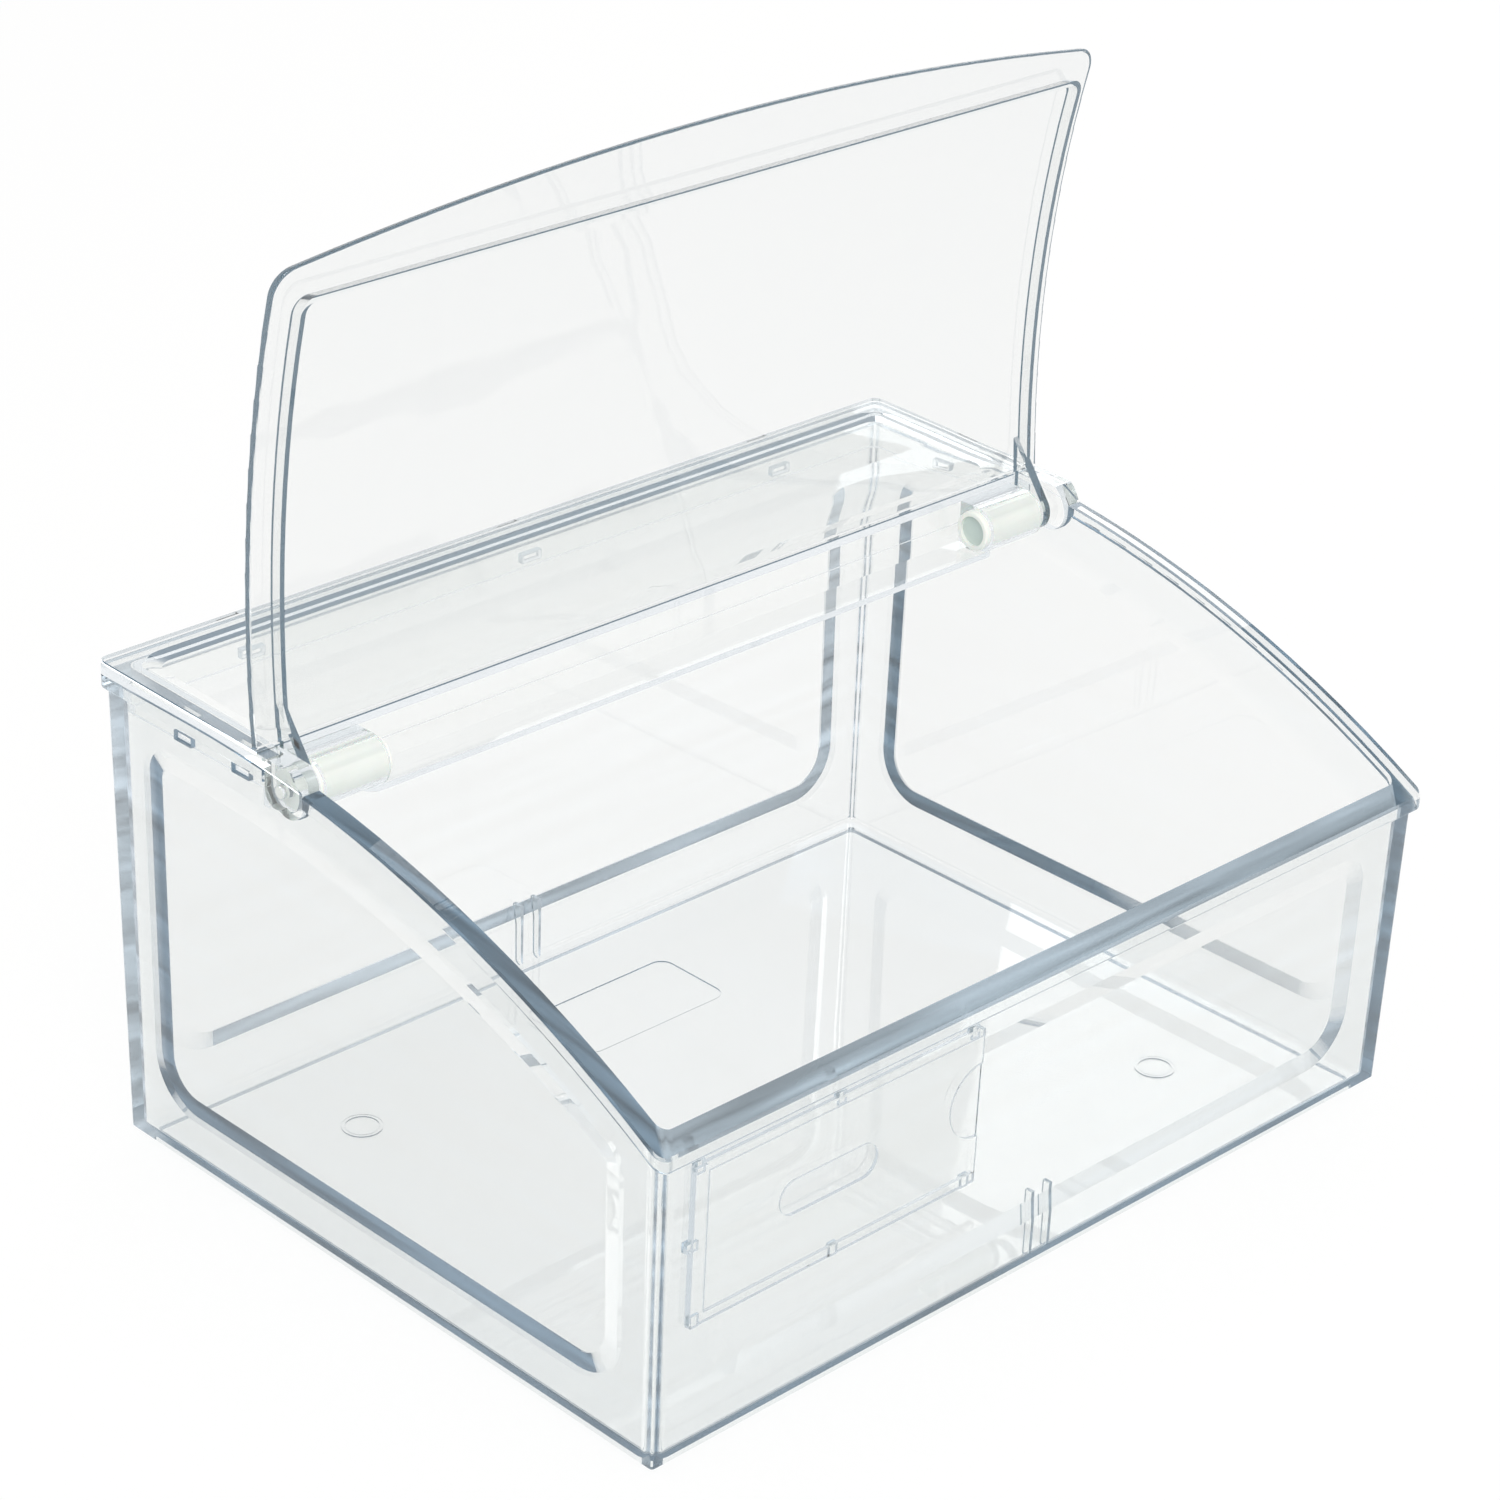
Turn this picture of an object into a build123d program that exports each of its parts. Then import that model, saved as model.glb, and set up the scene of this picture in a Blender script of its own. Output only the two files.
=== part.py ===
from build123d import *
from math import asin, atan, atan2, cos, degrees, hypot, radians, sin, sqrt
import os

# Clear countertop candy bin with a damped flip lid.
# Millimetres. X runs across the bin, Y from front to back, Z up.
# The origin is the centre of the footprint, on the surface that the bin stands on.

# Bin body
rim_width = 400.0            # outside of the top rim, side to side
rim_depth = 300.0            # outside of the top rim, front to back
rim_corner = 4.5             # plan radius of the rim's corners
rim_flare = 2.5              # how far the rim stands out from the wall below it
rim_height = 5.5             # height of the rim band
rim_blend = 1.6              # radius under the rim band
edge_round = 0.8             # rounding of exposed edges
draft_rise = 0.0125          # outward lean of each wall, mm per mm of height
wall_thickness = 5.0
wall_corner = 1.6            # radius of the outside upright corners
base_bevel = 4.0             # bevel of the outer bottom edge
floor_thickness = 3.4
foot_height = 2.5            # how far the floor is raised inside the foot ring
foot_width = 8.5             # width of the foot ring
cavity_corner = 2.6          # plan radius of the inside corners
cavity_round = 2.0           # radius between floor and walls, inside
seat_height = 194.6          # top of the walls where the cover sits
crest_ahead = 54.0           # from the back to where the side walls' edge starts to fall
sweep_radius = 500.0         # radius of the falling edge of the side walls

# Thinner panels in the walls, let into both faces, and in front into the outer face only
panel_depth = 1.5            # how far a panel is let into a face
panel_slope = 8.0            # width of the sloping band round a panel
panel_bottom = 24.0          # height of a panel's lower edge
panel_drop = 20.0            # from the wall's top edge down to a panel
panel_round = 22.0           # lower corners of a panel
panel_top_round = 13.0       # upper corners of a panel
side_panel_margin = 18.0     # from the ends of the side panels to the front and back
back_panel_margin = 17.0     # from the ends of the back panel to the sides
front_panel_margin = 24.0    # from the ends of the front panel to the sides
front_panel_drop = 16.0      # from the front edge down to the front panel

# Divider grooves: a pair of low ribs in the middle of the front and back walls
groove_gap = 9.5
groove_rib = 1.6
groove_depth = 2.8
groove_height = 27.2         # height of the ribs over the floor

# Moulding marks on the floor
gate_ring_radius = 8.0
gate_ring_width = 1.4
mark_height = 0.5
gate_from_side = 69.0
gate_from_end = 66.0
pad_width = 74.0
pad_depth = 38.0
pad_off_middle = 6.0
pad_behind = 85.0            # from the middle of the floor to the middle of the pad
pad_round = 6.0

# Label holder on the front wall
label_from_side = 17.0       # from the side of the bin to the window's end rail
label_width = 138.0
label_height = 63.0
label_drop = 9.4             # from the front edge down to the window
label_rail = 3.4             # width of the rails round the card
label_gap = 1.5              # room for the card
label_plate = 1.3            # thickness of the clear window
label_margin = 2.6           # from the window to the edge of its pad
label_clip = 3.6             # width of a snap tab
label_clip_out = 1.6         # how far a snap tab stands outside its rail
label_clip_deep = 2.4        # depth of a snap tab's socket in the wall
label_fit = 0.1
thumb_length = 47.0
thumb_height = 14.0
thumb_left = 5.5             # from the window's middle to the slot's middle
thumb_rise = 0.9
notch_radius = 15.0
notch_rise = 2.5             # from the window's middle up to the notch's middle

# Rear cover
cover_depth = 93.0
cover_rise = 5.4             # top of the cover over the seat, at the back
cover_fall = 2.3             # how much lower the front of the cover is
cover_frame = 9.0            # width of the raised frame
cover_slope = 6.0            # width of the frame's sloping inner side
cover_sink = 1.6             # depth of the plate below the frame
cover_plate = 2.6
cover_gap = 0.1              # between the cover and the walls that it sits on
lip_thickness = 2.4
lip_depth = 13.1             # from the seat down to the lip's edge
lip_gap = 0.25
skirt_thickness = 3.0
skirt_depth = 20.0           # from the seat down to the front skirt's edge
shelf_thickness = 2.6
shelf_reach = 15.0
shelf_end_gap = 38.0         # from the shelf's end to the side of the bin
shelf_round = 6.0
hook_width = 9.0
hook_height = 3.0
hook_drop = 10.0             # from the seat down to the hooks
hook_first = 13.0            # from the cover's front to the first side hook
hook_pitch = 33.0
hook_from_side = 64.0        # from the side of the bin to the outer rear hooks
hook_reach = 3.4
hook_gap = 0.4
dot_radius = 3.2             # moulding mark on the cover

# Hinge
hinge_ahead = 9.0            # from the cover's front to the hinge axis
hinge_drop = 9.6             # from the seat down to the hinge axis
ear_width = 9.2
ear_radius = 15.6            # round front end of each ear, about the hinge axis
lobe_inset = 1.0             # from the lobe's outer face to the rim's outer face
lobe_radius = 9.0
lobe_ahead = 6.5             # from the hinge axis forward to the lobe's middle
lobe_rise = 2.0
boss_radius = 6.0
lobe_gap = 0.35

# Rotary dampers
damper_length = 32.4
damper_radius = 8.1
damper_bore = 6.2
damper_end_wall = 4.2
damper_end_gap = 0.95        # from the barrel to the lid's lug
damper_cap_thickness = 2.4
damper_cap_recess = 1.4
damper_key_width = 2.4
damper_key_reach = 1.2
sleeve_inset = 2.5           # how far the barrel's inner end stands out of its sleeve
sleeve_outset = 1.2
sleeve_gap = 0.1
sleeve_wall = 1.5
rotor_gap = 0.08
rotor_end_gap = 0.3
rotor_core = 4.2
rotor_vane = 3.0
rotor_collar = 2.0
shaft_radius = 3.0
shaft_flats = 4.4            # across the two flats that turn the damper
seal_radius = 0.9
journal_radius = 2.4
journal_length = 4.6

# Lid
lid_thickness = 3.0
lid_gap = 0.5                # between the closed lid and the wall's edge
lid_ahead = 15.4             # from the hinge axis to the closed lid's rear edge
lid_corner_behind = 12.0     # from the rim's front to the lid's front corners
lid_bow = 14.0               # how far the middle of the front edge stands beyond them
lid_corner = 9.0
lug_thickness = 4.0
lug_side_gap = 0.45
lug_radius = 8.3
lug_root = 17.0              # length of the lug's root along the lid
lug_fit = 0.05
rib_height = 5.0
rib_thickness = 2.0
rib_clearance = 1.0          # from the rib to the inside of the side walls
rib_behind = 10.0            # from the lid's front corners to the front rib
rib_ahead = 5.6              # from the lid's rear edge to the ends of the side ribs
rib_round = 6.0
stop_gap = 0.35              # between the open lid's rear edge and the cover
heel_rise = 1.4              # from the cover up to the open lid's lugs
lug_lean = 60.0              # direction of the lug's front edge, degrees below level

# Worked out from the sizes above
half_width = rim_width / 2
half_depth = rim_depth / 2
lean = atan(draft_rise)
sweep_centre_z = seat_height - sweep_radius
base_half_width = half_width - rim_flare - draft_rise * seat_height
base_half_depth = half_depth - rim_flare - draft_rise * seat_height
floor_top = foot_height + floor_thickness
crest_y = half_depth - crest_ahead
cover_height = seat_height + cover_rise
cover_front = half_depth - cover_depth
cover_land = cover_height - cover_fall
lip_bottom = seat_height - lip_depth
skirt_bottom = seat_height - skirt_depth
hook_z = seat_height - hook_drop
hook_ys = (cover_front + hook_first, cover_front + hook_first + hook_pitch)
hook_xs = (hook_from_side - half_width, 0.0, half_width - hook_from_side)
hinge_y = cover_front - hinge_ahead
hinge_z = seat_height - hinge_drop
ear_inside = half_width - ear_width
damper_outer_end = ear_inside - lug_side_gap - lug_thickness - damper_end_gap
damper_inner_end = damper_outer_end - damper_length
sleeve_inner_end = damper_inner_end + sleeve_inset
sleeve_outer_end = damper_outer_end - sleeve_outset
lid_rear = hinge_y - lid_ahead
lid_corner_front = lid_corner_behind - half_depth
rib_front = lid_corner_front + rib_behind
rib_rear = lid_rear - rib_ahead
beyond = rim_depth           # past the bin's front and back, for cutting shapes
above = rim_depth            # over the closed bin, for cutting shapes
wall_pass = 4 * wall_thickness
touching = edge_round / 10   # how near an edge must be to a face to lie on it


def outer_half_width(z):
    return base_half_width + draft_rise * z


def outer_half_depth(z):
    return base_half_depth + draft_rise * z


def edge_z(y):
    """Height of the side walls' top edge at a given depth."""
    if y >= crest_y:
        return seat_height
    return sweep_centre_z + sqrt(sweep_radius ** 2 - (y - crest_y) ** 2)


front_top = edge_z(-half_depth)
front_panel_top = front_top - front_panel_drop
label_left = label_from_side - half_width
label_right = label_left + label_width
label_top = front_top - label_drop
label_bottom = label_top - label_height


def lid_open_angle():
    """Angle from closed to where the lid's rear edge comes down to the cover."""
    corner_z = edge_z(lid_rear) + lid_gap + lid_thickness
    reach = hypot(lid_rear - hinge_y, corner_z - hinge_z)
    closed = degrees(atan2(corner_z - hinge_z, lid_rear - hinge_y))
    resting = degrees(asin((cover_land + stop_gap - hinge_z) / reach))
    return closed - resting


open_angle = lid_open_angle()


def both_sides(solid):
    return solid + mirror(solid, about=Plane.YZ)


def along_x(face, start, end):
    """Sweep a YZ profile from one X to another."""
    return extrude(Plane.YZ.offset(start) * face, end - start)


def across(face, half_span):
    return along_x(face, -half_span, half_span)


def sweep_arc(rise):
    """The walls' falling edge, raised by rise, from the crest to in front of the bin."""
    radius = sweep_radius + rise
    turn = degrees(asin((crest_y + beyond) / radius))
    return CenterArc((crest_y, sweep_centre_z), radius, 90, turn)


def above_edge(rise):
    """YZ face of everything above the walls' top edge raised by rise."""
    arc = sweep_arc(rise)
    front = arc @ 1
    return make_face([
        arc,
        Line(front, (front.X, above)),
        Line((front.X, above), (beyond, above)),
        Line((beyond, above), (beyond, seat_height + rise)),
        Line((beyond, seat_height + rise), (crest_y, seat_height + rise)),
    ])


def leaning(plan, inset, bottom, top):
    """Block that follows the leaning walls, set in by inset, from the plan of a rectangle."""
    width = 2 * (outer_half_width(bottom) - inset)
    depth = 2 * (outer_half_depth(bottom) - inset)
    return extrude(Pos(0, 0, bottom) * plan(width, depth), top - bottom, taper=-degrees(lean))


def inside_plan(width, depth):
    return RectangleRounded(width, depth, cavity_corner)


def is_upright(edge):
    size = edge.bounding_box().size
    return max(size.X, size.Y) < rim_corner + base_bevel


def let_in(outline, wall, depth):
    """Solid whose sides slope in from an outline on a wall, begun clear of the wall's face."""
    begun = offset(outline, amount=panel_slope)
    turn = degrees(atan(panel_slope / panel_depth))
    return extrude(wall.offset(-depth) * begun, 2 * depth, taper=turn)


def corners_near(face, points):
    """The face's corners closest to some given points of its plane."""
    return [min(face.vertices(), key=lambda v: hypot(v.X - x, v.Y - z)) for x, z in points]


def rounded(face, low, high):
    """Round a panel's lower corners, then its upper ones."""
    face = fillet(corners_near(face, low), panel_round)
    return fillet(corners_near(face, high), panel_top_round)


def side_panel():
    """Outline of a side panel, whose top follows the falling edge."""
    reach = base_half_depth - side_panel_margin
    height = seat_height - panel_bottom
    block = Pos(0, panel_bottom + height / 2) * Rectangle(2 * reach, height)
    face = block - above_edge(-panel_drop)
    low = [(-reach, panel_bottom), (reach, panel_bottom)]
    high = [(-reach, edge_z(-reach) - panel_drop), (reach, seat_height - panel_drop)]
    return rounded(face.face(), low, high)


def end_panel(margin, top):
    """Outline of the front or the back panel."""
    reach = base_half_width - margin
    face = Pos(0, (panel_bottom + top) / 2) * Rectangle(2 * reach, top - panel_bottom)
    low = [(-reach, panel_bottom), (reach, panel_bottom)]
    high = [(-reach, top), (reach, top)]
    return rounded(face.face(), low, high)


def side_wall():
    return Plane(origin=(base_half_width, 0, 0), x_dir=(0, 1, 0), z_dir=(cos(lean), 0, -sin(lean)))


def front_wall():
    return Plane(origin=(0, -base_half_depth, 0), x_dir=(1, 0, 0), z_dir=(0, -cos(lean), -sin(lean)))


def back_wall():
    return Plane(origin=(0, base_half_depth, 0), x_dir=(-1, 0, 0), z_dir=(0, cos(lean), -sin(lean)))


def outer_hollows():
    """The panels' hollows in the outer faces of the walls."""
    side = let_in(side_panel(), side_wall(), -panel_depth)
    back = end_panel(back_panel_margin, seat_height - panel_drop)
    front = end_panel(front_panel_margin, front_panel_top)
    return [
        side,
        left(side),
        let_in(back, back_wall(), -panel_depth),
        let_in(front, front_wall(), -panel_depth) - label_pad(),
    ]


def inner_hollows():
    """The panels' hollows in the inner faces of the side walls and the back wall."""
    side = Pos(-wall_thickness, 0, 0) * let_in(side_panel(), side_wall(), panel_depth)
    back = end_panel(back_panel_margin, seat_height - panel_drop)
    return [side, left(side), Pos(0, -wall_thickness, 0) * let_in(back, back_wall(), panel_depth)]


def groove_ribs():
    """Pairs of low ribs that hold a divider between the front and back walls."""
    ribs = []
    for side in (-1, 1):
        x = side * groove_gap / 2
        y = base_half_depth - wall_thickness / 2
        depth = wall_thickness / 2 + groove_depth
        height = groove_height + floor_thickness / 2
        for end in (-1, 1):
            place = Pos(x, end * (y - depth / 2), floor_top + groove_height - height / 2)
            ribs.append(place * Box(groove_rib, depth, height))
    return ribs


def gate_rings():
    """Two raised rings on the floor at the moulding gates."""
    marks = []
    gate_x = half_width - gate_from_side
    gate_y = half_depth - gate_from_end
    for x, y in ((-gate_x, gate_y), (gate_x, -gate_y)):
        ring = Circle(gate_ring_radius) - Circle(gate_ring_radius - gate_ring_width)
        marks.append(Pos(x, y, floor_top - mark_height) * extrude(ring, 2 * mark_height))
    return marks


def floor_pad():
    """Shallow mark sunk in the floor."""
    pad = extrude(RectangleRounded(pad_width, pad_depth, pad_round), 2 * mark_height)
    return Pos(pad_off_middle, pad_behind, floor_top - mark_height) * pad


def rim():
    """Band round the top of the walls, standing out from them, with softened edges."""
    plan = RectangleRounded(rim_width, rim_depth, rim_corner)
    band = extrude(plan, above) & across(above_edge(-rim_height) - above_edge(0), half_width)
    band = chamfer([edge for edge in rim_edges(band) if over_edge(edge) > -rim_height / 2], edge_round)
    return fillet([edge for edge in rim_edges(band) if over_edge(edge) < -rim_height / 2], edge_round)


def over_edge(edge):
    """Height of an edge's middle over the walls' top edge."""
    middle = edge @ 0.5
    return middle.Z - edge_z(middle.Y)


def rim_edges(band):
    """The long outer edges of the rim band, without its upright ones."""
    found = []
    for edge in band.edges():
        middle = edge @ 0.5
        size = edge.bounding_box().size
        outside = abs(middle.X) > half_width - rim_corner or abs(middle.Y) > half_depth - rim_corner
        if outside and max(size.X, size.Y) > edge_round:
            found.append(edge)
    return found


def is_under_rim(edge):
    """True for an edge where the rim band's underside meets a wall."""
    middle = edge @ 0.5
    out_x = max(abs(middle.X) - outer_half_width(middle.Z) + wall_corner, 0)
    out_y = max(abs(middle.Y) - outer_half_depth(middle.Z) + wall_corner, 0)
    off_wall = hypot(out_x, out_y) - wall_corner
    size = edge.bounding_box().size
    level = abs(over_edge(edge) + rim_height) < edge_round and max(size.X, size.Y) > edge_round
    return level and abs(off_wall) < touching


def outer_shell():
    """The bin's outer shape, solid, with its rim and bevelled base."""
    outer = leaning(Rectangle, 0, 0, seat_height)
    outer = chamfer(outer.faces().sort_by(Axis.Z)[0].edges(), base_bevel)
    outer = fillet([edge for edge in outer.edges() if is_upright(edge)], wall_corner)
    outer = outer - across(above_edge(-rim_height / 2), rim_width) + rim()
    return fillet([edge for edge in outer.edges() if is_under_rim(edge)], rim_blend)


def lobe_face(grow):
    """Profile of the ear's lobe, open upwards so that the cover drops in."""
    lobe_y = hinge_y - lobe_ahead
    lobe_z = hinge_z + lobe_rise
    big = Pos(lobe_y, lobe_z) * Circle(lobe_radius + grow)
    small = Pos(hinge_y, hinge_z) * Circle(boss_radius + grow)
    top = cover_land - hinge_z
    neck = Pos(hinge_y, hinge_z + top / 2) * Rectangle(2 * (boss_radius + grow), top)
    chest = Pos(lobe_y, lobe_z + top / 2) * Rectangle(2 * (lobe_radius + grow), top)
    return big + small + neck + chest


def hook_windows(grow):
    """Blocks that pass through the side and back walls where the cover's hooks snap in."""
    blocks = []
    width = hook_width + 2 * grow
    height = hook_height + 2 * grow
    for y in hook_ys:
        for side in (-1, 1):
            place = Pos(side * (half_width - wall_thickness), y, hook_z)
            blocks.append(place * Box(wall_pass, width, height))
    for x in hook_xs:
        place = Pos(x, half_depth - wall_thickness, hook_z)
        blocks.append(place * Box(width, wall_pass, height))
    return blocks


def label_area(grow):
    """Outline of the label window on the front wall."""
    width = label_right - label_left + 2 * grow
    height = label_top - label_bottom + 2 * grow
    middle = ((label_left + label_right) / 2, (label_bottom + label_top) / 2)
    return Pos(*middle) * Rectangle(width, height)


def label_clips(grow):
    """Outlines of the snap tabs along the window's rails."""
    size = label_clip + 2 * grow
    inset = label_rail / 2
    long = label_rail + label_clip_out + 2 * grow
    xs = (label_left + label_rail, (label_left + label_right) / 2, label_right - label_rail)
    clips = []
    for x in xs:
        clips.append(Pos(x, label_top - inset + label_clip_out / 2) * Rectangle(size, long))
        clips.append(Pos(x, label_bottom + inset - label_clip_out / 2) * Rectangle(size, long))
    middle = (label_bottom + label_top) / 2
    clips.append(Pos(label_left + inset - label_clip_out / 2, middle) * Rectangle(long, size))
    return clips


def label_pad():
    """Stays full in the front panel's hollow behind the label, so that the window lies flat."""
    return extrude(front_wall().offset(wall_thickness) * label_area(label_margin), -2 * wall_thickness)


def bin_body():
    """Open tapered bin with its rim, panels, foot ring and marks."""
    body = outer_shell() - outer_hollows()
    cavity = leaning(inside_plan, wall_thickness, floor_top, above)
    cavity = fillet(cavity.faces().sort_by(Axis.Z)[0].edges(), cavity_round)
    body = body - cavity - inner_hollows()
    body = body + groove_ribs() + gate_rings() - floor_pad()
    body = body - leaning(inside_plan, foot_width, -foot_height, foot_height)
    notch = along_x(lobe_face(lobe_gap), ear_inside - lobe_gap, half_width + lobe_gap)
    body = body - both_sides(notch) - hook_windows(hook_gap)
    sockets = label_clips(label_fit)
    return body - [extrude(front_wall() * socket, -label_clip_deep - label_fit) for socket in sockets]


def cover_top(drop):
    """YZ face below the cover's gently falling top, lowered by drop."""
    fall = (cover_height - cover_land) / (half_depth - cover_front)
    front = cover_front - ear_radius - lobe_radius
    low = cover_land - fall * (cover_front - front)
    return make_face(Polyline([
        (front, 0),
        (beyond, 0),
        (beyond, cover_height + fall * (beyond - half_depth) - drop),
        (front, low - drop),
    ], close=True))


def cover_plan():
    """Plan of the cover, square in front and rounded behind."""
    plan = Pos(0, half_depth - cover_depth / 2) * Rectangle(rim_width, cover_depth)
    return fillet(corners_near(plan, [(half_width, half_depth), (-half_width, half_depth)]), rim_corner)


def cover_frame_block():
    """The cover's outer shape, cut to its top and to the walls' edge."""
    block = extrude(cover_plan(), above)
    block = block & across(above_edge(cover_gap), half_width)
    block = block & across(cover_top(0), half_width)
    return fillet(block.faces().sort_by(Axis.Z)[-1].edges(), edge_round)


def cover_recess():
    """Hollow on top of the cover, with sloping sides."""
    fall = atan((cover_height - cover_land) / (half_depth - cover_front))
    top = Plane(origin=(0, cover_front, cover_land), x_dir=(1, 0, 0), z_dir=(0, -sin(fall), cos(fall)))
    width = 2 * (half_width - cover_frame)
    depth = half_depth - cover_front - 2 * cover_frame
    middle = Pos(0, depth / 2 + cover_frame)
    upper = middle * RectangleRounded(width, depth, panel_top_round)
    slopes = 2 * cover_slope
    lower = middle * RectangleRounded(width - slopes, depth - slopes, panel_top_round - cover_slope)
    return loft([top * upper, top.offset(-cover_sink) * lower])


def lip_plan(inset):
    """Plan of the cover's underside lip, against the inside of the walls."""
    side = outer_half_width(lip_bottom) - wall_thickness - lip_gap - inset
    rear = outer_half_depth(lip_bottom) - wall_thickness - lip_gap - inset
    depth = rear - cover_front - inset
    plan = Pos(0, cover_front + inset + depth / 2) * Rectangle(2 * side, depth)
    corner = cavity_corner + draft_rise * seat_height
    return fillet(corners_near(plan, [(side, rear), (-side, rear)]), corner)


def cover_lip():
    """Lip round three sides and a deeper skirt in front, with the shelf at its foot."""
    ring = lip_plan(0) - lip_plan(lip_thickness)
    lip = extrude(Pos(0, 0, lip_bottom) * ring, above)
    side = outer_half_width(skirt_bottom) - wall_thickness - lip_gap
    height = lip_bottom - skirt_bottom + skirt_thickness
    skirt = Box(2 * side, skirt_thickness, height)
    skirt = Pos(0, cover_front + skirt_thickness / 2, skirt_bottom + height / 2) * skirt
    depth = shelf_reach + skirt_thickness
    shelf_front = cover_front - shelf_reach
    shelf_end = half_width - shelf_end_gap
    plan = Pos(0, shelf_front + depth / 2) * Rectangle(2 * shelf_end, depth)
    corners = [(shelf_end, shelf_front), (-shelf_end, shelf_front)]
    plan = fillet(corners_near(plan, corners), shelf_round)
    shelf = extrude(Pos(0, 0, skirt_bottom) * plan, shelf_thickness)
    return lip + skirt + shelf


def cover_hooks():
    """Noses on the lip that snap into the windows of the walls."""
    noses = []
    for y in hook_ys:
        for side in (-1, 1):
            x = outer_half_width(hook_z) - wall_thickness - lip_gap - lip_thickness / 2
            reach = lip_thickness / 2 + lip_gap + hook_reach
            place = Pos(side * (x + reach / 2), y, hook_z)
            noses.append(place * Box(reach, hook_width, hook_height))
    for x in hook_xs:
        y = outer_half_depth(hook_z) - wall_thickness - lip_gap - lip_thickness / 2
        reach = lip_thickness / 2 + lip_gap + hook_reach
        place = Pos(x, y + reach / 2, hook_z)
        noses.append(place * Box(hook_width, reach, hook_height))
    return noses


def ear():
    """Right ear: a cheek on the wall's edge with a lobe that carries the lid's journal."""
    swing = Pos(hinge_y, hinge_z) * Circle(ear_radius)
    run = Pos(cover_front, hinge_z) * Rectangle(2 * hinge_ahead, above)
    rear = Pos(half_depth, hinge_z) * Rectangle(2 * cover_depth, above)
    limit = (swing + run + rear) & cover_top(0)
    cheek = along_x((limit & above_edge(cover_gap)) - rear, ear_inside, half_width)
    lobe = along_x(lobe_face(0) & limit, ear_inside, half_width - lobe_inset)
    inner = outer_half_width(skirt_bottom) - wall_thickness - lip_gap
    web = Rectangle(hinge_ahead + skirt_thickness, 2 * boss_radius)
    web = Pos(cover_front - hinge_ahead / 2, hinge_z) * web
    return cheek + lobe + along_x(web, ear_inside, inner)


def sleeve():
    """Right sleeve: a D-shaped holder whose flat side faces the skirt."""
    outside = damper_radius + sleeve_gap + sleeve_wall
    face = Pos(hinge_y, hinge_z) * Circle(outside)
    depth = hinge_ahead + skirt_thickness / 2
    face += Pos(hinge_y + depth / 2, hinge_z) * Rectangle(depth, 2 * outside)
    face -= Pos(hinge_y, hinge_z) * Circle(damper_radius + sleeve_gap)
    depth = damper_key_reach + sleeve_gap + damper_radius
    face -= Pos(hinge_y, hinge_z + depth / 2) * Rectangle(damper_key_width + 2 * sleeve_gap, depth)
    return along_x(face, sleeve_inner_end, sleeve_outer_end)


def hinge_rod(radius, start, end):
    return along_x(Pos(hinge_y, hinge_z) * Circle(radius), start, end)


def rear_cover():
    """Fixed cover over the back of the bin, with the sleeves and ears of the hinge."""
    frame = cover_frame_block()
    inside = extrude(offset(lip_plan(0), amount=-lip_thickness), above)
    frame = frame - (inside & across(cover_top(cover_sink + cover_plate), half_width)) - cover_recess()
    lip = cover_lip() & across(cover_top(cover_sink), half_width)
    dot = Pos(0, hook_ys[0]) * Circle(dot_radius)
    dot = extrude(dot, above) & across(cover_top(cover_sink - mark_height), half_width)
    dot = dot - across(cover_top(cover_sink + cover_plate / 2), half_width)
    cover = frame + lip + dot + cover_hooks()
    barrel = hinge_rod(damper_radius + sleeve_gap, damper_inner_end - sleeve_gap, damper_outer_end)
    bore_end = ear_inside + journal_length + rotor_end_gap
    bore = hinge_rod(journal_radius + rotor_gap, ear_inside - lug_fit, bore_end)
    return cover + both_sides(ear()) - both_sides(barrel) + both_sides(sleeve()) - both_sides(bore)


def damper_body():
    """Right damper: a barrel closed at its outer end, with a key along its top."""
    barrel = hinge_rod(damper_radius, damper_inner_end, damper_outer_end)
    barrel = fillet(barrel.edges().filter_by(GeomType.CIRCLE), edge_round)
    reach = damper_radius + damper_key_reach
    key = Pos(hinge_y, hinge_z + reach / 2) * Rectangle(damper_key_width, reach)
    barrel += along_x(key, sleeve_inner_end, sleeve_outer_end)
    barrel -= hinge_rod(damper_bore, damper_inner_end, damper_outer_end - damper_end_wall)
    groove = seal_radius * 2 + rotor_gap
    end = damper_outer_end - damper_end_wall
    barrel -= hinge_rod(shaft_radius + 2 * rotor_gap + 2 * seal_radius, end, end + groove)
    return barrel - hinge_rod(shaft_radius + rotor_gap, end, damper_outer_end)


def damper_seal():
    """Right damper's O-ring, round the shaft."""
    x = damper_outer_end - damper_end_wall + rotor_gap / 2 + seal_radius
    ring = Torus(shaft_radius + rotor_gap + seal_radius, seal_radius)
    return Pos(x, hinge_y, hinge_z) * Rot(0, 90, 0) * ring


def damper_cap():
    """Right damper's plug, recessed in the barrel's inner end."""
    start = damper_inner_end + damper_cap_recess
    return hinge_rod(damper_bore, start, start + damper_cap_thickness)


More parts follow.
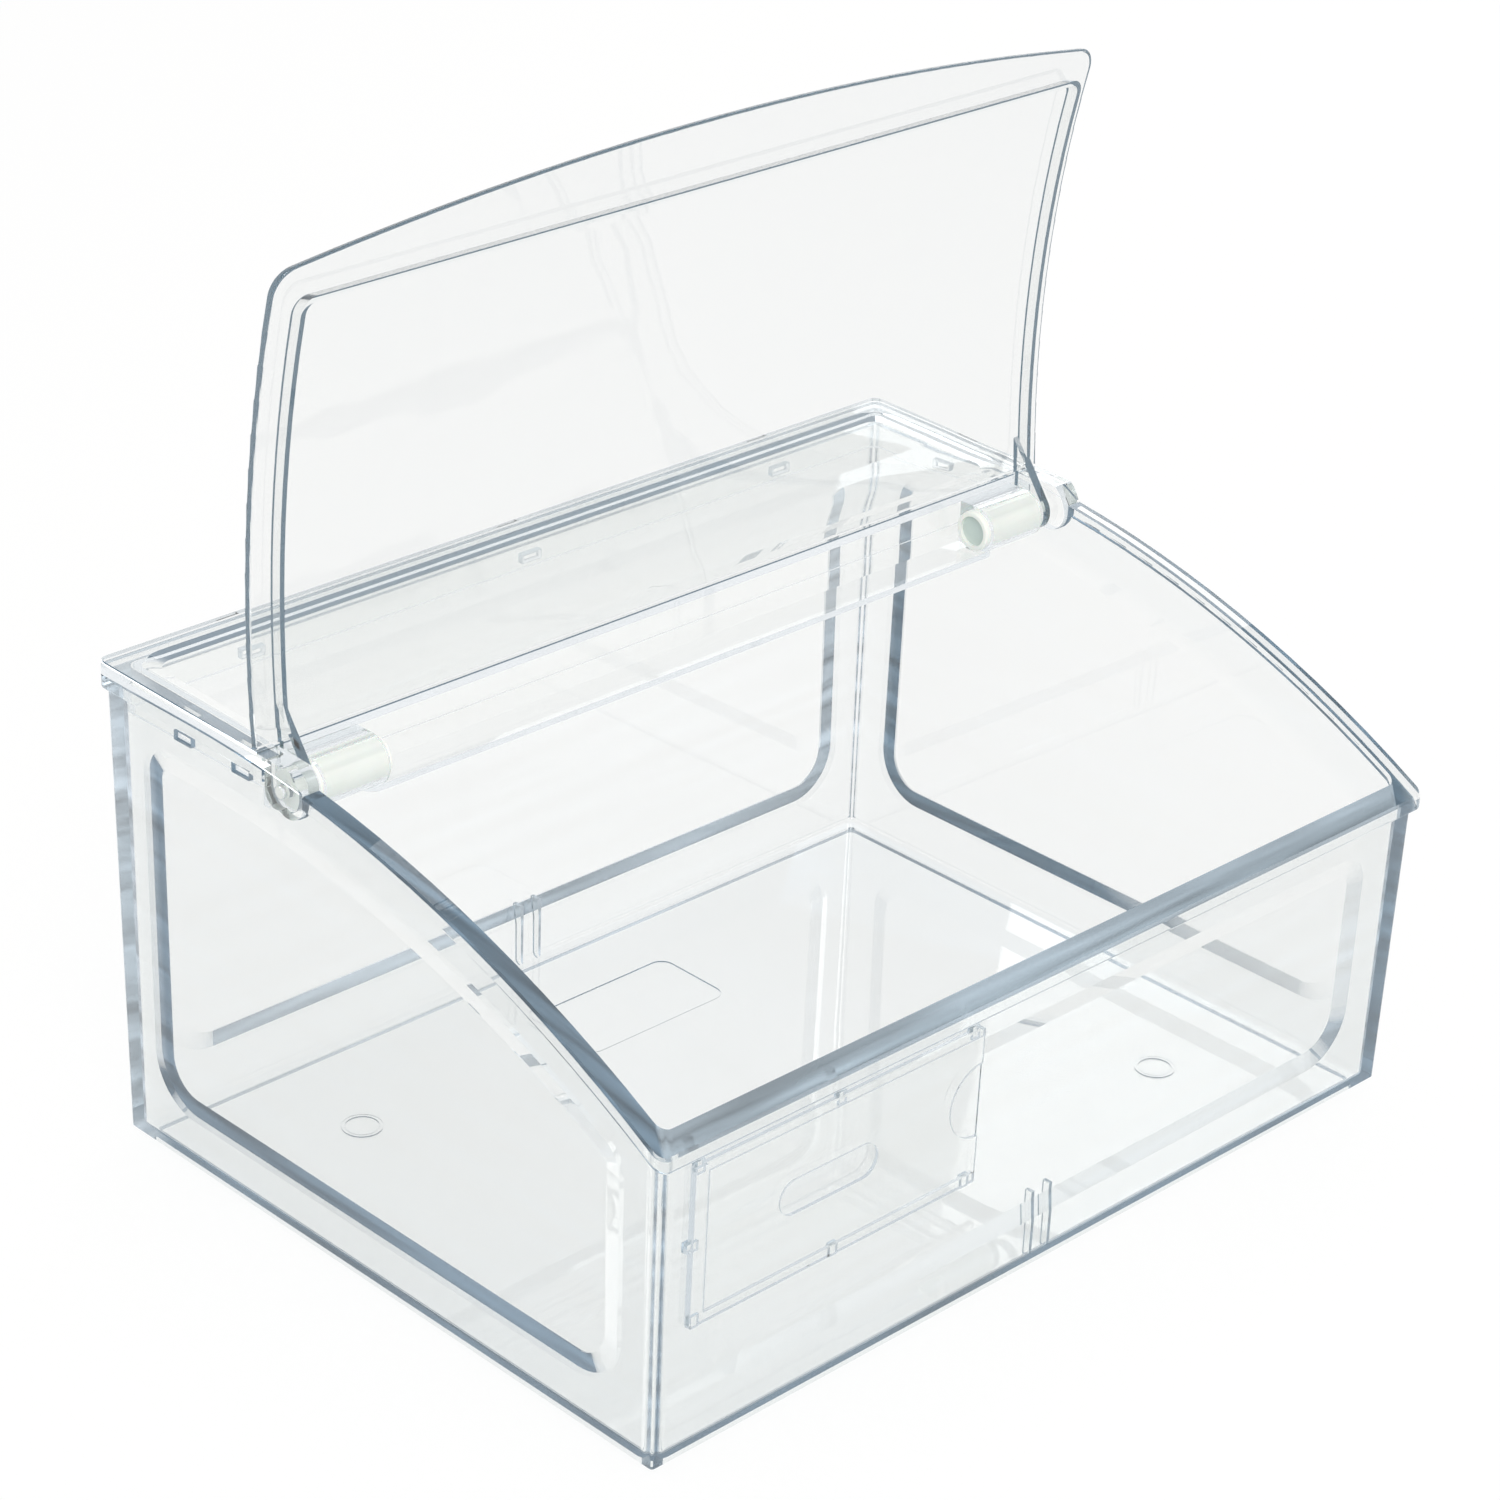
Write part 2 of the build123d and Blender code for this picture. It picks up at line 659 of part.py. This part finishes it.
def damper_rotor():
    """Right damper's vane and shaft, which turn with the lid."""
    start = damper_inner_end + damper_cap_recess + damper_cap_thickness + rotor_end_gap
    end = damper_outer_end - damper_end_wall - rotor_end_gap
    swept = damper_bore - rotor_gap
    rotor = hinge_rod(rotor_core, start, end)
    rotor += hinge_rod(swept, start, start + rotor_collar)
    rotor += hinge_rod(swept, end - rotor_collar, end)
    vane = Pos(hinge_y, hinge_z) * (Rectangle(rotor_vane, 2 * damper_bore) & Circle(swept))
    rotor += along_x(vane, start, end)
    keyed = ear_inside - lug_side_gap - lug_thickness - lug_fit
    rotor += hinge_rod(shaft_radius, end, keyed)
    flats = Pos(hinge_y, hinge_z) * shaft_section(0)
    tip = ear_inside - lug_fit
    rotor += along_x(flats, keyed, tip)
    return rotor + hinge_rod(journal_radius, tip, ear_inside + journal_length)


def shaft_section(grow):
    """Round section with two flats."""
    return Circle(shaft_radius + grow) & Rectangle(shaft_flats + 2 * grow, 2 * lug_radius)


def lid_plan():
    """Plan of the closed lid: straight behind and bowed in front."""
    right_front = (half_width, lid_corner_front)
    left_front = (-half_width, lid_corner_front)
    plan = make_face([
        Line((half_width, lid_rear), (-half_width, lid_rear)),
        Line((-half_width, lid_rear), left_front),
        ThreePointArc(left_front, (0, lid_corner_front - lid_bow), right_front),
        Line(right_front, (half_width, lid_rear)),
    ])
    return fillet(corners_near(plan, [left_front, right_front]), lid_corner)


def lid_ribs():
    """Rib on the underside of the closed lid that keeps it between the walls."""
    side = outer_half_width(edge_z(rib_front)) - wall_thickness - rib_clearance
    depth = rib_rear - rib_front
    outer = Pos(0, rib_front + depth / 2) * Rectangle(2 * side, depth)
    outer = fillet(corners_near(outer, [(side, rib_front), (-side, rib_front)]), rib_round)
    width = 2 * (side - rib_thickness)
    inner = Pos(0, rib_front + rib_thickness + depth / 2) * Rectangle(width, depth)
    corners = [(width / 2, rib_front + rib_thickness), (-width / 2, rib_front + rib_thickness)]
    inner = fillet(corners_near(inner, corners), rib_round - rib_thickness)
    ring = extrude(outer - inner, above)
    low = lid_gap - rib_height
    return ring & across(above_edge(low) - above_edge(lid_gap + lid_thickness / 2), half_width)


def closed_point(behind, over):
    """Where a point of the open lid, given from the hinge axis, lies when it is closed."""
    turn = radians(open_angle)
    y = behind * cos(turn) - over * sin(turn)
    z = behind * sin(turn) + over * cos(turn)
    return (hinge_y + y, hinge_z + z)


def lug():
    """Right lug of the closed lid: an arm down to a disc that the damper's shaft turns."""
    end = ear_inside - lug_side_gap
    disc = Pos(hinge_y, hinge_z) * Circle(lug_radius)
    root = (lid_rear - lug_root, edge_z(lid_rear - lug_root) + lid_gap + lid_thickness / 2)
    back = (lid_rear, edge_z(lid_rear) + lid_gap + lid_thickness / 2)
    heel = closed_point(lug_radius, cover_land - hinge_z + heel_rise)
    side = closed_point(lug_radius, 0)
    turn = radians(lug_lean)
    low = (hinge_y - lug_radius * cos(turn), hinge_z - lug_radius * sin(turn))
    arm = make_face(Polyline([root, back, heel, side, (hinge_y, hinge_z), low], close=True))
    return along_x(disc + arm, end - lug_thickness, end)


def closed_lid():
    """The lid as it lies over the open front of the bin."""
    slab = extrude(lid_plan(), above)
    slab = slab & across(above_edge(lid_gap) - above_edge(lid_gap + lid_thickness), half_width)
    slab = fillet([edge for edge in slab.edges() if edge.length > 2 * lid_thickness], edge_round)
    lid = slab + lid_ribs() + both_sides(lug())
    hole = along_x(Pos(hinge_y, hinge_z) * shaft_section(lug_fit), 0, half_width)
    return lid - both_sides(hole)


def opened(solid):
    """Turn a solid about the hinge axis from closed to open."""
    axis = Axis((0, hinge_y, hinge_z), (1, 0, 0))
    return solid.rotate(axis, -open_angle)


def label_window():
    """Clear window on rails, with a thumb slot and a half-round notch for the card."""
    wall = front_wall()
    outline = label_area(0)
    rails = outline - Pos(label_rail, 0) * label_area(-label_rail)
    middle_x = (label_left + label_right) / 2
    middle_z = (label_bottom + label_top) / 2
    opening = Pos(label_right, middle_z + notch_rise) * Circle(notch_radius)
    window = extrude(wall.offset(label_gap) * outline, label_plate)
    window += extrude(wall.offset(label_fit / 2) * rails, label_gap)
    for clip in label_clips(0):
        window += extrude(wall.offset(-label_clip_deep) * clip, label_clip_deep + label_gap)
    slot = Pos(middle_x - thumb_left, middle_z + thumb_rise) * SlotOverall(thumb_length, thumb_height)
    cuts = [extrude(wall * slot, wall_pass), extrude(wall * opening, wall_pass)]
    return window - cuts


def left(solid):
    return mirror(solid, about=Plane.YZ)


def build():
    """Every piece of the bin under its own name, with the lid open."""
    rotor = opened(damper_rotor())
    return {
        "bin_body": bin_body(),
        "rear_cover": rear_cover(),
        "label_window": label_window(),
        "lid": opened(closed_lid()),
        "damper_body_right": damper_body(),
        "damper_body_left": left(damper_body()),
        "damper_cap_right": damper_cap(),
        "damper_cap_left": left(damper_cap()),
        "damper_seal_right": damper_seal(),
        "damper_seal_left": left(damper_seal()),
        "damper_rotor_right": rotor,
        "damper_rotor_left": left(rotor),
    }


if __name__ == "__main__":
    os.makedirs("parts", exist_ok=True)
    for name, solid in build().items():
        export_step(solid, f"parts/{name}.step")
        box = solid.bounding_box()
        print(name, round(solid.volume), len(solid.solids()), solid.is_valid, box)
    print("lid opens by", round(open_angle, 2), "degrees")
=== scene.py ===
import math

import bpy
from mathutils import Matrix, Vector

# ---------------------------------------------------------------- frame
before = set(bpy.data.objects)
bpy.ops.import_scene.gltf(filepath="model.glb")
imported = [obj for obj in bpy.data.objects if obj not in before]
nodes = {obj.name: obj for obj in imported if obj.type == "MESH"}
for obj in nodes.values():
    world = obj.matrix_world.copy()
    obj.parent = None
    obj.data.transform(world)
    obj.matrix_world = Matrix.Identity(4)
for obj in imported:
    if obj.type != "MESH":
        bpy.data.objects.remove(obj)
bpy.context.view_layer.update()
scene = bpy.context.scene

# ---------------------------------------------------------------- camera
# Found by fitting the bin's corners and edges to the photograph.
CAMERA_AZIMUTH = math.radians(-45.2114)
CAMERA_ELEVATION = math.radians(26.7714)
CAMERA_ROLL = math.radians(2.3093)
CAMERA_DISTANCE = 1.5708
TARGET = Vector((0.0, 0.0, 0.1))
TARGET_RIGHT = -0.00918         # metres that the view's middle lies to the right of TARGET
TARGET_UP = 0.04978             # metres that it lies above TARGET in the picture
SENSOR = 36.0                   # millimetres
FOCAL_IN_FRAMES = 4159.8 / 1500.0
FARTHEST = 50                   # metres

# ---------------------------------------------------------------- clear plastic
PLASTIC_IOR = 1.58
TRANSMISSION = 0.97
BASE_TINT = (1.0, 0.998, 0.989, 1)
DEPTH_TINT = (0.40, 0.53, 0.57, 1)      # where a long way through it has darkened it
LAMP_TINT = (0.93, 0.95, 0.95, 1)       # what one wall leaves of a lamp's light
HAZE = (0.0, 0.03)                      # least and greatest roughness
RIPPLE = 0.02
RIPPLE_HEIGHT = 0.002                   # metres

# Painted shade: of light that leaves the plastic from inside, this much is left, which darkens
# rims and corners; on the bin it differs between side walls, front and rear
BIN_SIDES_PAINTED_SHADE = (0.17, 0.25, 0.33)
BIN_FRONT_PAINTED_SHADE = (0.44, 0.52, 0.59)
BIN_REAR_PAINTED_SHADE = (0.55, 0.62, 0.69)
COVER_PAINTED_SHADE = (0.88, 0.91, 0.94)
LID_PAINTED_SHADE = (0.13, 0.20, 0.26)
WINDOW_PAINTED_SHADE = (0.62, 0.68, 0.73)
HALF_DEPTH = 0.15                       # metres from the bin's middle to its front or back
SHADE_STREAKS = (8, 8, 150)                   # streaks in the painted shade, per metre across, along and up the walls
SHADE_STREAK_RANGE = (-0.1, 1.9)

# How fast each piece darkens along its depth
BIN_DENSITY = 13.0
LID_DENSITY = 14.0
COVER_DENSITY = 4.0
WINDOW_DENSITY = 4.0

# ---------------------------------------------------------------- moulded plastic and rubber
GRAIN = 60.0                            # per metre
FINE_GRAIN = 14 * GRAIN
GRAIN_STRENGTH = 0.03
GRAIN_HEIGHT = 0.0004                   # metres
UNEVEN = 0.06                           # roughness up and down
SUBSURFACE_SCALE = 0.004                # metres

# ---------------------------------------------------------------- studio
WHITE = (1, 1, 1, 1)
SLATE = (0.13, 0.20, 0.26, 1)
# Height of a direction and the studio's colour there, in reflections and through plastic
STUDIO_BANDS = ((0.0, WHITE), (0.54, WHITE), (0.62, SLATE), (0.76, SLATE), (0.86, WHITE))
AMBIENT = (1.0, 0.99, 0.975, 1)
AMBIENT_STRENGTH = 0.8
FLOOR_HALF = 6.0                        # metres
FLOOR_DROP = 0.0002                     # metres, so that the floor and the foot don't share a face
FLOOR_COLOUR = (0.95, 0.95, 0.95, 1)
FLOOR_WHITE = 0.84                      # plain white in the floor as it is seen; the rest is lit
LAMP_AIM = (0, 0, 0.1)


def add_camera():
    """Puts the camera at the photograph's viewing angle."""
    back = Vector((math.sin(CAMERA_AZIMUTH) * math.cos(CAMERA_ELEVATION),
                   -math.cos(CAMERA_AZIMUTH) * math.cos(CAMERA_ELEVATION),
                   math.sin(CAMERA_ELEVATION)))
    right = (-back).cross(Vector((0, 0, 1))).normalized()
    up = right.cross(-back)
    c, s = math.cos(CAMERA_ROLL), math.sin(CAMERA_ROLL)
    right, up = c * right + s * up, c * up - s * right
    centre = TARGET + TARGET_RIGHT * right + TARGET_UP * up
    data = bpy.data.cameras.new("camera")
    data.sensor_width = SENSOR
    data.lens = SENSOR * FOCAL_IN_FRAMES
    data.clip_end = FARTHEST
    camera = bpy.data.objects.new("camera", data)
    turn = Matrix((right, up, back)).transposed().to_4x4()
    camera.matrix_world = Matrix.Translation(centre + CAMERA_DISTANCE * back) @ turn
    scene.collection.objects.link(camera)
    scene.camera = camera


class Nodes:
    """A node tree, emptied and then built in short lines."""

    def __init__(self, owner):
        owner.use_nodes = True
        self.tree = owner.node_tree
        self.tree.nodes.clear()

    def add(self, kind, **values):
        """A new node, with the sockets or settings named in values."""
        node = self.tree.nodes.new("ShaderNode" + kind)
        for key, value in values.items():
            if key in node.inputs:
                node.inputs[key].default_value = value
            else:
                setattr(node, key, value)
        return node

    def link(self, source, output, target, socket):
        self.tree.links.new(source.outputs[output], target.inputs[socket])

    def mix(self, source, output, first, second):
        """The shader first, or second where source's output is 1."""
        node = self.add("MixShader")
        self.link(source, output, node, "Fac")
        self.link(first, 0, node, 1)
        self.link(second, 0, node, 2)
        return node


def noise(t, scale, detail=2.0, roughness=0.5, stretch=(1, 1, 1)):
    """Noise that is fixed to the piece."""
    place = t.add("TexCoord")
    mapping = t.add("Mapping", Scale=stretch)
    t.link(place, "Object", mapping, "Vector")
    node = t.add("TexNoise", Scale=scale, Detail=detail, Roughness=roughness)
    t.link(mapping, "Vector", node, "Vector")
    return node


def ranged(t, source, low, high):
    """Brings a noise to the range from low to high."""
    node = t.add("MapRange", **{"To Min": low, "To Max": high})
    t.link(source, "Fac", node, "Value")
    return node


def ramped(t, source, output, bands):
    """A colour ramp over source's output, from pairs of position and colour in rising order."""
    node = t.add("ValToRGB")
    stops = node.color_ramp.elements
    for number, (position, colour) in enumerate(bands):
        stop = stops[number] if number < len(stops) else stops.new(position)
        stop.position, stop.color = position, colour
    t.link(source, output, node, "Fac")
    return node


def bumped(t, shader, source, strength, height):
    """Gives the shader a relief that follows a noise."""
    bump = t.add("Bump", Strength=strength, Distance=height)
    t.link(source, "Fac", bump, "Height")
    t.link(bump, "Normal", shader, "Normal")


def any_ray(t, kind, *rays):
    """A node that gives 1 for a ray of any of these kinds."""
    last, output = kind, rays[0]
    for ray in rays[1:]:
        highest = t.add("Math", operation="MAXIMUM")
        t.link(last, output, highest, 0)
        t.link(kind, ray, highest, 1)
        last, output = highest, 0
    return last


# ---------------------------------------------------------------- materials
def painted_shade_by_wall(t, sides, front, rear):
    """A streaky painted shade that differs between the side walls, the front wall and the rear
    wall.
    """
    place = t.add("TexCoord")
    parts = t.add("SeparateXYZ")
    t.link(place, "Object", parts, "Vector")
    depth = t.add("MapRange", **{"From Min": -HALF_DEPTH, "From Max": HALF_DEPTH})
    t.link(parts, "Y", depth, "Value")
    ramp = ramped(t, depth, "Result", ((0.035, (*front, 1)), (0.06, (*sides, 1)),
                                       (0.93, (*sides, 1)), (0.97, (*rear, 1))))
    strength = ranged(t, noise(t, 1.0, stretch=SHADE_STREAKS), *SHADE_STREAK_RANGE)
    shade = t.add("VectorMath", operation="SCALE")
    t.link(ramp, "Color", shade, "Vector")
    t.link(strength, "Result", shade, "Scale")
    return shade


def leaving(t, kind, glass, painted_shade):
    """Lets light that was reflected inside the plastic leave it, darkened at the first crossing by
    painted shade.
    """
    passing = t.add("BsdfTransparent")
    side = t.add("NewGeometry")
    inside = t.mix(side, "Backfacing", glass, painted_shade)
    return t.mix(kind, "Transparent Depth", inside, passing)


def clear_plastic(name, density, painted_edge_shade, *other_painted_shades):
    """Polished clear plastic that darkens along its depth, faintly uneven as moulded, with painted
    shade on light that leaves it from inside.
    When more shades are given, the first is the side walls' painted shade, then come front and
    rear."""
    material = bpy.data.materials.new(name)
    t = Nodes(material)
    out = t.add("OutputMaterial")
    glass = t.add("BsdfPrincipled", IOR=PLASTIC_IOR,
                  **{"Base Color": BASE_TINT, "Transmission Weight": TRANSMISSION})
    rough = ranged(t, noise(t, 9.0, 3.0, 0.55, (1.0, 1.6, 0.7)), *HAZE)
    t.link(rough, "Result", glass, "Roughness")
    bumped(t, glass, noise(t, 26.0, 1.0, 0.4, (0.7, 1.0, 1.3)), RIPPLE, RIPPLE_HEIGHT)
    # painted shade on light that leaves the plastic from inside, darkening rims and corners
    painted_shade = t.add("BsdfTransparent", Color=(*painted_edge_shade, 1))
    if other_painted_shades:
        t.link(painted_shade_by_wall(t, painted_edge_shade, *other_painted_shades), "Vector", painted_shade, "Color")
    kind = t.add("LightPath")
    lamps = t.add("BsdfTransparent", Color=LAMP_TINT)
    shader = t.mix(kind, "Is Reflection Ray", glass, leaving(t, kind, glass, painted_shade))
    shader = t.mix(kind, "Is Diffuse Ray", shader, lamps)
    shader = t.mix(kind, "Is Shadow Ray", shader, lamps)
    t.link(shader, "Shader", out, "Surface")
    depths = t.add("VolumeAbsorption", Density=density, Color=DEPTH_TINT)
    t.link(depths, "Volume", out, "Volume")
    return material


def moulded(name, colour, shade, roughness, subsurface=0.0):
    """Opaque moulded plastic or rubber with a faint grain and slight unevenness."""
    material = bpy.data.materials.new(name)
    t = Nodes(material)
    out = t.add("OutputMaterial")
    shader = t.add("BsdfPrincipled")
    if subsurface:
        shader.inputs["Subsurface Weight"].default_value = subsurface
        shader.inputs["Subsurface Scale"].default_value = SUBSURFACE_SCALE
    cloud = noise(t, GRAIN, 3.0)
    ramp = ramped(t, cloud, "Fac", ((0.3, (*shade, 1)), (0.62, (*colour, 1))))
    t.link(ramp, "Color", shader, "Base Color")
    rough = ranged(t, cloud, roughness - UNEVEN, roughness + UNEVEN)
    t.link(rough, "Result", shader, "Roughness")
    bumped(t, shader, noise(t, FINE_GRAIN), GRAIN_STRENGTH, GRAIN_HEIGHT)
    t.link(shader, "BSDF", out, "Surface")
    return material


def dress(name, material):
    """Gives a piece its only material."""
    piece = nodes[name]
    piece.data.materials.clear()
    piece.data.materials.append(material)


dress("bin_body", clear_plastic("clear_bin", BIN_DENSITY, BIN_SIDES_PAINTED_SHADE, BIN_FRONT_PAINTED_SHADE, BIN_REAR_PAINTED_SHADE))
dress("rear_cover", clear_plastic("clear_cover", COVER_DENSITY, COVER_PAINTED_SHADE))
dress("lid", clear_plastic("clear_lid", LID_DENSITY, LID_PAINTED_SHADE))
dress("label_window", clear_plastic("clear_window", WINDOW_DENSITY, WINDOW_PAINTED_SHADE))

housing = moulded("damper_housing", (0.96, 0.945, 0.90), (0.92, 0.91, 0.87), 0.32, 0.1)
plug = moulded("damper_plug", (0.62, 0.70, 0.66), (0.55, 0.63, 0.60), 0.35)
rubber = moulded("damper_o_ring", (0.03, 0.03, 0.03), (0.02, 0.02, 0.02), 0.6)
rotor = moulded("damper_rotor", (0.80, 0.80, 0.77), (0.74, 0.75, 0.72), 0.3)
for side in ("left", "right"):
    dress(f"damper_body_{side}", housing)
    dress(f"damper_cap_{side}", plug)
    dress(f"damper_seal_{side}", rubber)
    dress(f"damper_rotor_{side}", rotor)


# ---------------------------------------------------------------- studio
def studio_world():
    """White all round for the camera; darker overhead in reflections and through plastic."""
    world = bpy.data.worlds.new("studio")
    scene.world = world
    t = Nodes(world)
    place = t.add("TexCoord")
    parts = t.add("SeparateXYZ")
    t.link(place, "Generated", parts, "Vector")
    seen = t.add("Background")
    t.link(ramped(t, parts, "Z", STUDIO_BANDS), "Color", seen, "Color")
    white = t.add("Background", Color=WHITE)
    light = t.add("Background", Color=AMBIENT, Strength=AMBIENT_STRENGTH)
    kind = t.add("LightPath")
    glassy = any_ray(t, kind, "Is Glossy Ray", "Is Transmission Ray")
    around = t.mix(glassy, 0, light, seen)
    out = t.add("OutputWorld")
    t.link(t.mix(kind, "Is Camera Ray", around, white), "Shader", out, "Surface")


def floor():
    """Wide white floor that keeps a soft shadow."""
    mesh = bpy.data.meshes.new("floor")
    r = FLOOR_HALF
    mesh.from_pydata([(-r, -r, 0), (r, -r, 0), (r, r, 0), (-r, r, 0)], [], [(0, 1, 2, 3)])
    plane = bpy.data.objects.new("floor", mesh)
    scene.collection.objects.link(plane)
    plane.location.z = -FLOOR_DROP
    material = bpy.data.materials.new("floor")
    t = Nodes(material)
    out = t.add("OutputMaterial")
    paper = t.add("BsdfDiffuse", Color=FLOOR_COLOUR)
    glow = t.add("Emission", Color=WHITE)
    kind = t.add("LightPath")
    seen = any_ray(t, kind, "Is Camera Ray", "Is Glossy Ray", "Is Transmission Ray")
    part = t.add("Math", operation="MULTIPLY")
    t.link(seen, 0, part, 0)
    part.inputs[1].default_value = FLOOR_WHITE
    t.link(t.mix(part, "Value", paper, glow), "Shader", out, "Surface")
    mesh.materials.append(material)


def softbox(name, place, size, power):
    """A rectangular lamp that is aimed at the part."""
    data = bpy.data.lights.new(name, "AREA")
    data.shape = "RECTANGLE"
    data.size, data.size_y = size
    data.energy = power
    lamp = bpy.data.objects.new(name, data)
    lamp.location = place
    aim = Vector(LAMP_AIM) - Vector(place)
    lamp.rotation_euler = aim.to_track_quat("-Z", "Y").to_euler()
    scene.collection.objects.link(lamp)


add_camera()
studio_world()
floor()
softbox("key", (-1.2, -1.6, 2.2), (1.2, 1.2), 30)
softbox("fill", (1.8, 0.9, 1.7), (1.0, 1.4), 8)

scene.view_settings.view_transform = "Standard"
